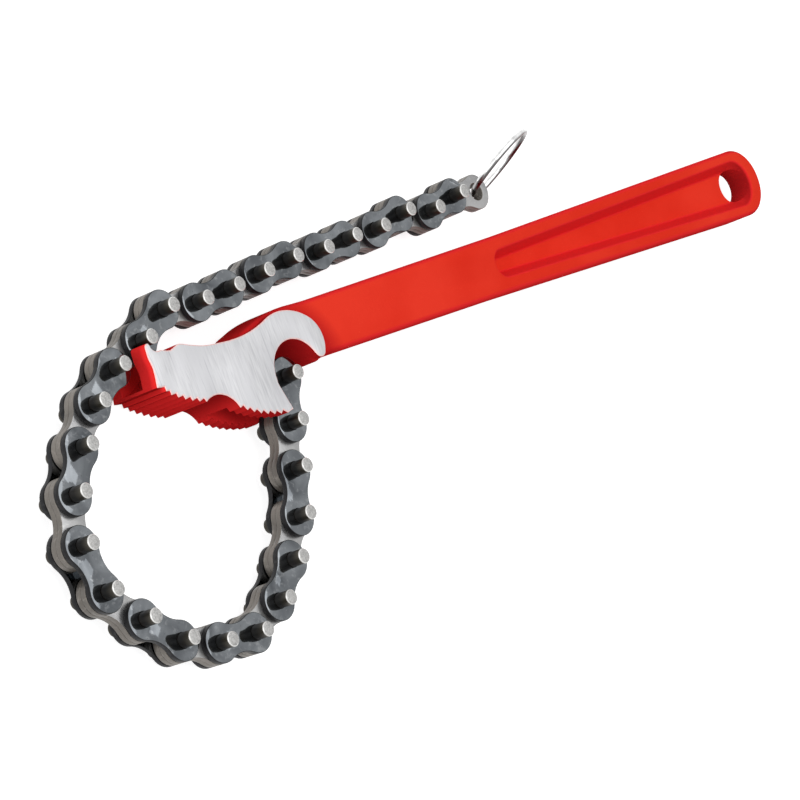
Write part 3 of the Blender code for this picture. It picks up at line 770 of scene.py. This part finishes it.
def plate_steel(name):
    """Oiled, heat-treated steel with fine rubbing marks and small blemishes."""
    dark, light, scratch, rough, metallic, shine = PLATE_LOOKS[name]
    shade = Shader(name, metallic, Specular_IOR_Level=shine)
    cloud = shade.grain(*PLATE_CLOUD)
    marks = shade.grain(*PLATE_MARKS)
    blemishes = shade.grain(*PLATE_BLEMISHES)
    base = shade.fade(cloud, PLATE_CLOUD_BAND, dark, light)
    worn = shade.fade(marks, PLATE_MARK_BAND, base, scratch, PLATE_MARK_SHARE)
    spot = tuple(shares_of(BLEMISH_DARKNESS, dark))
    shade.colour(shade.fade(blemishes, PLATE_BLEMISH_BAND, worn, spot, PLATE_BLEMISH_SHARE))
    shade.roughness(cloud, *shares_of(rough, PLATE_ROUGHNESS_SHARES))
    shade.bump([(marks, PLATE_MARK_DEPTH), (blemishes, PLATE_BLEMISH_DEPTH)], strength=0.4)
    return shade.material


def pin_shaft():
    """Black oil-quenched pin, browner and then worn towards its ends."""
    shade = Shader("pin_shaft", metallic=0.3)
    cloud = shade.grain(*SHAFT_CLOUD)
    turning = shade.grain(*SHAFT_TURNING)
    out = shade.off_middle()
    black = shade.fade(cloud, MIDDLE_BAND, *SHAFT_COLOURS)
    brown = shade.fade(out, shares_of(mid_z, SHAFT_BROWN_SHARES), black, SHAFT_BROWN)
    shade.colour(shade.fade(out, shares_of(mid_z, SHAFT_WORN_SHARES), brown, SHAFT_WORN))
    shade.roughness(turning, *SHAFT_ROUGHNESS)
    shade.bump([(turning, SHAFT_TURNING_DEPTH)], strength=0.5)
    return shade.material


def pin_tip():
    """The pins' ends, ground bright."""
    shade = Shader("pin_tip", metallic=0.6)
    grain = shade.grain(*TIP_GRAIN)
    shade.colour(shade.fade(grain, WIDE_BAND, *TIP_COLOURS))
    shade.roughness(grain, *TIP_ROUGHNESS)
    shade.bump([(grain, TIP_GRAIN_DEPTH)], strength=0.6)
    return shade.material


def chrome():
    """Plated spring wire, with a painted reflection: darker on its side towards -Y."""
    shade = Shader("chrome", metallic=1.0)
    haze = shade.grain(*CHROME_HAZE)
    light = shade.fade(haze, MIDDLE_BAND, *CHROME_COLOURS)
    shade.colour(shade.fade(shade.part("Y", "Normal"), CHROME_REFLECTION_BAND, CHROME_REFLECTION_COLOUR, light))
    shade.roughness(haze, *CHROME_ROUGHNESS)
    shade.bump([(haze, CHROME_HAZE_DEPTH)], strength=0.3)
    return shade.material


def make_handle(places):
    """The forging: head and handle in one, slotted for the chain, with the grip's recess on both sides."""
    anchor, first, hooked = places[0], places[1], places[hooked_pin]
    outline = head_outline(hooked, first)
    low_layers = [(drawn_in(inset(outline, EDGE_BAND), 1), 0)]
    for away, down in quarter_round(END_ROUND_STEPS):
        low_layers.append((drawn_in(outline, away), EDGE_DROP + END_ROUND * down))
    high_layers = [(points, head_thickness - z) for points, z in reversed(low_layers)]
    paint, ground, broken_highlight = range(3)
    kinds = [broken_highlight] + [paint] * (2 * END_ROUND_STEPS + 1) + [broken_highlight]
    forging = add("forging", mesh_from(
        "forging", lambda bm: slab(bm, low_layers + high_layers, kinds, ground), (RED, GROUND, BROKEN_EDGE_HIGHLIGHT)))

    low, high = mid_z - HANDLE_THICKNESS / 2, mid_z + HANDLE_THICKNESS / 2
    shank = handle_outline(first)
    cut(forging, lambda bm: solid(
        bm, shank, low, high, HANDLE_EDGE_ROUND, GRIP_ROUND_STEPS), RED, "UNION")

    slots = (
        (hooked + Vector((-HORN_SLOT_OUT, HORN_SLOT_UP)), HORN_SLOT_RADIUS),
        (anchor + Vector((-ANCHOR_SLOT_BACK, -ANCHOR_SLOT_DROP)), ANCHOR_SLOT_RADIUS),
    )
    for centre, radius in slots:
        disc = circle(centre, radius, SLOT_SIDES)
        cut(forging, lambda bm: block(bm, disc, mid_z - slot_width / 2, mid_z + slot_width / 2), RED)

    for side in (1, -1):
        cut(forging, lambda bm: recess(bm, side), RED)
    hang_radius = HANG_HOLE_DIAMETER / 2
    hang = circle((HANDLE_LENGTH - HANG_HOLE_RIM - hang_radius, 0), hang_radius, HOLE_SIDES)
    cut(forging, lambda bm: block(bm, hang, 0, head_thickness), RED)
    bore = circle(anchor, hole_radius, HOLE_SIDES)
    cut(forging, lambda bm: block(bm, bore, -CUT_OVERRUN, head_thickness - ANCHOR_PIN_BLIND), RED)
    forging.data.shade_smooth()
    forging.data.set_sharp_from_angle(angle=math.radians(SHARP_ANGLE))

    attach(forging, "handle")
    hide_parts("handle")


def recess(bm, side):
    """What the grip's recess takes away on one side: a drafted pocket with a rounded floor and mouth."""
    floor = WEB_THICKNESS / 2
    face = HANDLE_THICKNESS / 2
    lean = GRIP_DRAFT / (face - floor)
    turns = quarter_round(GRIP_ROUND_STEPS)
    layers = [(GRIP_DRAFT + GRIP_EDGE_ROUND * away, floor + GRIP_EDGE_ROUND * down) for away, down in turns]
    layers += [(GRIP_EDGE_ROUND * (lean - down), face - GRIP_EDGE_ROUND * away) for away, down in turns]
    layers.append((layers[-1][0], face + CUT_OVERRUN))
    slab(bm, [(grip_outline(narrower, grip_ends[side]), mid_z + side * z) for narrower, z in layers])


def lathe(bm, profile, sides, finishes):
    """A round piece about the Z axis from (radius, height) points, closed at both ends."""
    rows = [rim(bm, circle((0, 0), radius, sides), z) for radius, z in profile]
    for place, (low, high) in enumerate(zip(rows, rows[1:])):
        walls(bm, low, high, finishes[place])
    bm.faces.new(rows[0]).material_index = finishes[0]
    bm.faces.new(rows[-1]).material_index = finishes[-1]


def pin_mesh(name, low_z, high_z):
    """A pin with a dark shaft and a bright, slightly crowned and chamfered end on both sides."""
    edge = pin_radius - PIN_CHAMFER
    end = [(edge * out, PIN_DOME * down) for out, down in PIN_DOME_SHARES]
    end.append((pin_radius, PIN_DOME + PIN_CHAMFER))
    profile = [(r, low_z + z) for r, z in end] + [(r, high_z - z) for r, z in reversed(end)]
    shaft, tip, rounding = range(3)
    kinds = [tip, tip, rounding, shaft, rounding, tip, tip]
    return mesh_from(name, lambda bm: lathe(bm, profile, PIN_SIDES, kinds), (SHAFT, TIP, TIP_EDGE))


def plate_meshes():
    """The chain's kinds of plate, each from its first hole at the origin to its second along +X."""
    outline = plate_outline()
    holes = [circle(place, hole_radius, HOLE_SIDES) for place in ((0, 0), (PITCH, 0))]
    tight = [circle(place, pin_radius + RIVET_SEAM, PIN_SIDES) for place in ((0, 0), (PITCH, 0))]
    ring_holes = [holes[0], circle((PITCH, 0), RING_HOLE_DIAMETER / 2, HOLE_SIDES)]
    inner = (mid_z + INNER_SEAM / 2, mid_z + FACE_GAP / 2 + PLATE_THICKNESS)
    outer = (inner[1] + FACE_GAP, inner[1] + FACE_GAP + PLATE_THICKNESS)
    kinds = {
        "inner": (inner, holes, (INNER, INNER_EDGE)),
        "outer": (outer, tight, (OUTER, OUTER_EDGE)),
        "end": (inner, ring_holes, (INNER, INNER_EDGE)),
    }
    meshes = {}
    for kind, ((low_z, high_z), openings, finish) in kinds.items():
        for side, low, high in (("front", low_z, high_z), ("back", 2 * mid_z - high_z, 2 * mid_z - low_z)):
            meshes[f"{kind}_{side}"] = mesh_from(f"plate_{kind}_{side}", lambda bm: solid(
                bm, outline, low, high, PLATE_EDGE_ROUND, ROUND_STEPS, openings, (0, 1, 1)), finish)
    return meshes


def set_piece(name, mesh, place, heading, body, nodes):
    """A piece on a pin's place, turned to its link's heading, that stands for CAD nodes."""
    thing = add(name, mesh.copy())
    thing.data.transform(
        Matrix.Translation((place.x, place.y, 0)) @ Matrix.Rotation(math.radians(heading), 4, "Z"))
    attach(thing, body)
    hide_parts(*nodes)


def make_chain(places, headings):
    """Every plate and pin as a piece of its own on its link's body."""
    plates = plate_meshes()
    long_pin = pin_mesh("chain_pin", 0, head_thickness)
    last_outer = (len(headings) - 1) // 2
    for index, heading in enumerate(headings):
        number = index // 2 + 1
        if index % 2:
            body = f"outer_link_{number:02d}"
            nodes = {"front": f"outer_plate_{number:02d}", "back": f"pin_plate_{number:02d}"}
            if number == last_outer:
                nodes = dict.fromkeys(nodes, f"riveted_link_{number:02d}")
            for side, node in nodes.items():
                set_piece(f"outer_leaf_{side}_{number:02d}", plates[f"outer_{side}"], places[index], heading,
                          body, (node,))
            for pin in (index, index + 1):
                set_piece(f"chain_pin_{pin:02d}", long_pin, places[pin], heading,
                          body, (nodes["back"],))
        else:
            kind = "end" if index == len(headings) - 1 else "inner"
            for side in ("front", "back"):
                set_piece(f"inner_leaf_{side}_{number:02d}", plates[f"{kind}_{side}"], places[index], heading,
                          f"inner_link_{number:02d}", (f"{kind}_plate_{side}_{number:02d}",))

    anchor = pin_mesh("anchor_rivet", ANCHOR_PIN_RECESS, head_thickness - ANCHOR_PIN_BLIND - FACE_GAP)
    set_piece("anchor_rivet", anchor, places[0], 0, "handle", ("anchor_pin",))


def make_ring(places):
    """The ring through the last link: a round wire that leans and rises from the link's hole."""
    radius = (RING_OUTER_DIAMETER - RING_WIRE_DIAMETER) / 2

    def wire(bm):
        rows = []
        for i in range(RING_SIDES):
            turn = direction(360 / RING_SIDES * i)
            row = []
            for place in circle((radius, 0), RING_WIRE_DIAMETER / 2 - RING_TRIM, WIRE_SIDES):
                row.append(bm.verts.new((turn.x * place.x, place.y, turn.y * place.x)))
            rows.append(row)
        for row, following in zip(rows, rows[1:] + rows[:1]):
            walls(bm, row, following)

    mesh = mesh_from("wire_ring", wire, (CHROME,))
    lie = (Matrix.Rotation(math.radians(RING_HEADING), 4, "Z")
           @ Matrix.Rotation(math.radians(-RING_RISE), 4, "Y")
           @ Matrix.Rotation(math.radians(RING_LEAN), 4, "X"))
    hole = places[-1]
    mesh.transform(Matrix.Translation((hole.x, hole.y, mid_z)) @ lie @ Matrix.Translation((radius, 0, 0)))
    ring = add("wire_ring", mesh)
    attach(ring, "ring")
    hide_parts("ring")


def make_camera():
    camera = bpy.data.objects.new("camera", bpy.data.cameras.new("camera"))
    bpy.context.collection.objects.link(camera)
    right, up = Vector(CAMERA_RIGHT).normalized(), Vector(CAMERA_UP)
    up = (up - right * up.dot(right)).normalized()
    turn = Matrix((right, up, right.cross(up))).transposed()
    camera.matrix_world = Matrix.Translation(CAMERA_PLACE) @ turn.to_4x4()
    camera.data.lens = LENS
    camera.data.sensor_width = SENSOR
    camera.data.clip_start = CLIP_START
    bpy.context.scene.camera = camera


def make_lamp(name, place, target, size, power):
    lamp = bpy.data.objects.new(name, bpy.data.lights.new(name, "AREA"))
    bpy.context.collection.objects.link(lamp)
    lamp.data.size = size
    lamp.data.energy = power
    lamp.location = place
    lamp.rotation_euler = (Vector(target) - Vector(place)).to_track_quat("-Z", "Y").to_euler()


def seen_directly(tree):
    """1 for rays from the camera, off gloss or through glass, else 0; for a material or the world."""
    rays = tree.nodes.new("ShaderNodeLightPath")
    seen = rays.outputs["Is Camera Ray"]
    for kind in ("Is Glossy Ray", "Is Transmission Ray"):
        either = tree.nodes.new("ShaderNodeMath")
        either.operation = "MAXIMUM"
        tree.links.new(seen, either.inputs[0])
        tree.links.new(rays.outputs[kind], either.inputs[1])
        seen = either.outputs[0]
    return seen


def make_floor():
    """A plain pale floor that shows as white but for the wrench's shadow."""
    corners = [Vector((x, y)) * FLOOR_HALF for x, y in ((-1, -1), (1, -1), (1, 1), (-1, 1))]
    floor = add("floor", mesh_from("floor", lambda bm: bm.faces.new(rim(bm, corners, -FLOOR_GAP))))
    shade = Shader("floor_paper", Roughness=FLOOR_ROUGHNESS, Specular_IOR_Level=0.0)
    shade.colour(shade.blend(shade.grain(*FLOOR_FIBRE), *FLOOR_COLOURS))
    glow = shade.work("MULTIPLY", seen_directly(shade.tree), FLOOR_GLOW)
    shade.surface.inputs["Emission Color"].default_value = (1, 1, 1, 1)
    shade.join(glow, shade.surface.inputs["Emission Strength"])
    floor.data.materials.append(shade.material)


def make_world():
    """Soft white light all round, and a white background for the camera, gloss and glass."""
    world = bpy.data.worlds.new("studio")
    world.use_nodes = True
    nodes, links = world.node_tree.nodes, world.node_tree.links
    soft = nodes["Background"]
    soft.inputs["Color"].default_value = (1, 1, 1, 1)
    soft.inputs["Strength"].default_value = WORLD_LIGHT
    white = nodes.new("ShaderNodeBackground")
    white.inputs["Color"].default_value = (1, 1, 1, 1)
    mix = nodes.new("ShaderNodeMixShader")
    links.new(seen_directly(world.node_tree), mix.inputs["Fac"])
    links.new(soft.outputs[0], mix.inputs[1])
    links.new(white.outputs[0], mix.inputs[2])
    links.new(mix.outputs[0], nodes["World Output"].inputs["Surface"])
    bpy.context.scene.world = world


chain, link_headings = chain_places()
RED = red_paint(throat_and_tip(chain[1])[0])
GROUND = ground_steel()
BROKEN_EDGE_HIGHLIGHT = broken_edge_highlight()
OUTER = plate_steel("outer_plate")
OUTER_EDGE = plate_steel("outer_plate_edge")
INNER = plate_steel("inner_plate")
INNER_EDGE = plate_steel("inner_plate_edge")
SHAFT = pin_shaft()
TIP = pin_tip()
TIP_EDGE = plate_steel("pin_tip_edge")
CHROME = chrome()

make_camera()
make_world()
make_floor()
for lamp_row in LAMPS:
    make_lamp(*lamp_row)
make_handle(chain)
make_chain(chain, link_headings)
make_ring(chain)

bpy.context.scene.view_settings.view_transform = "Standard"
bpy.context.view_layer.update()
